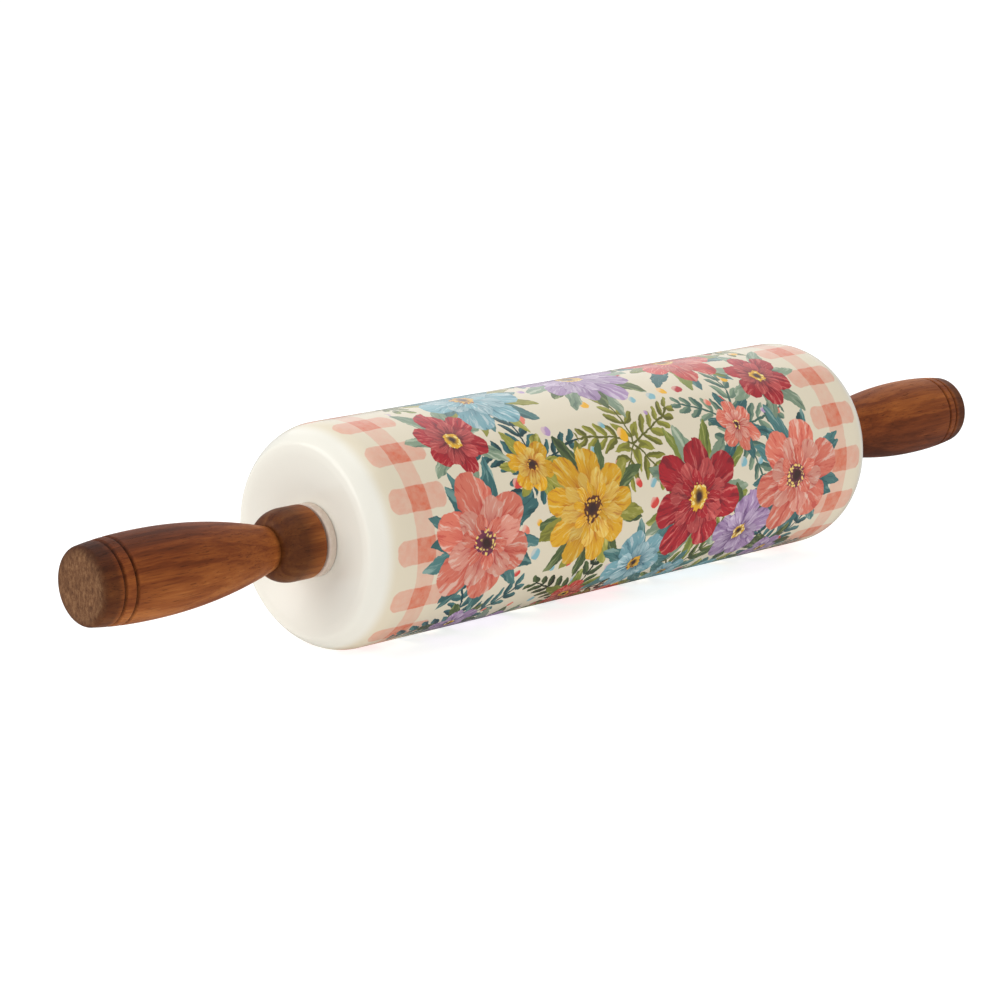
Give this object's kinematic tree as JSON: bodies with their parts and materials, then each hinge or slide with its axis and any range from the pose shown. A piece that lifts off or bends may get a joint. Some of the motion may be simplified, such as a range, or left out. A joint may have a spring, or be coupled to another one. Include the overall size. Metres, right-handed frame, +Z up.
{
  "type": "ceramic rolling pin",
  "caption": "Hollow glazed ceramic rolling pin barrel with round shoulders, free to spin on a steel rod between two turned wood handles.",
  "frame": {"origin": "on the surface that the barrel rests on, under the middle of the barrel", "axes": "+X along the pin's axis, +Z up"},
  "size_m": [0.4386, 0.0784, 0.0784],
  "materials": {
    "glazed_ceramic": "glossy clear glaze over a cream body with a printed check border and flower print",
    "dark_wood": "turned and oiled, satin, dark reddish brown with open grain",
    "nylon": "moulded, satin, off-white",
    "silicone": "soft matte, pale grey",
    "steel": "drawn bright steel",
    "brass": "machined brass"
  },
  "bodies": {
    "axle_and_handles": {"axle_rod": "steel", "left_handle": "dark_wood", "right_handle": "dark_wood", "left_thrust_washer": "steel", "right_thrust_washer": "steel", "left_threaded_insert": "brass", "right_threaded_insert": "brass"},
    "roller": {"ceramic_barrel": "glazed_ceramic", "left_end_bush": "nylon", "right_end_bush": "nylon", "left_bush_seal": "silicone", "right_bush_seal": "silicone"}
  },
  "joints": [
    {"name": "barrel_spin", "type": "hinge", "parent": "axle_and_handles", "child": "roller", "pos_m": [0, 0, 0.03919], "axis": [1, 0, 0], "continuous": true}
  ]
}
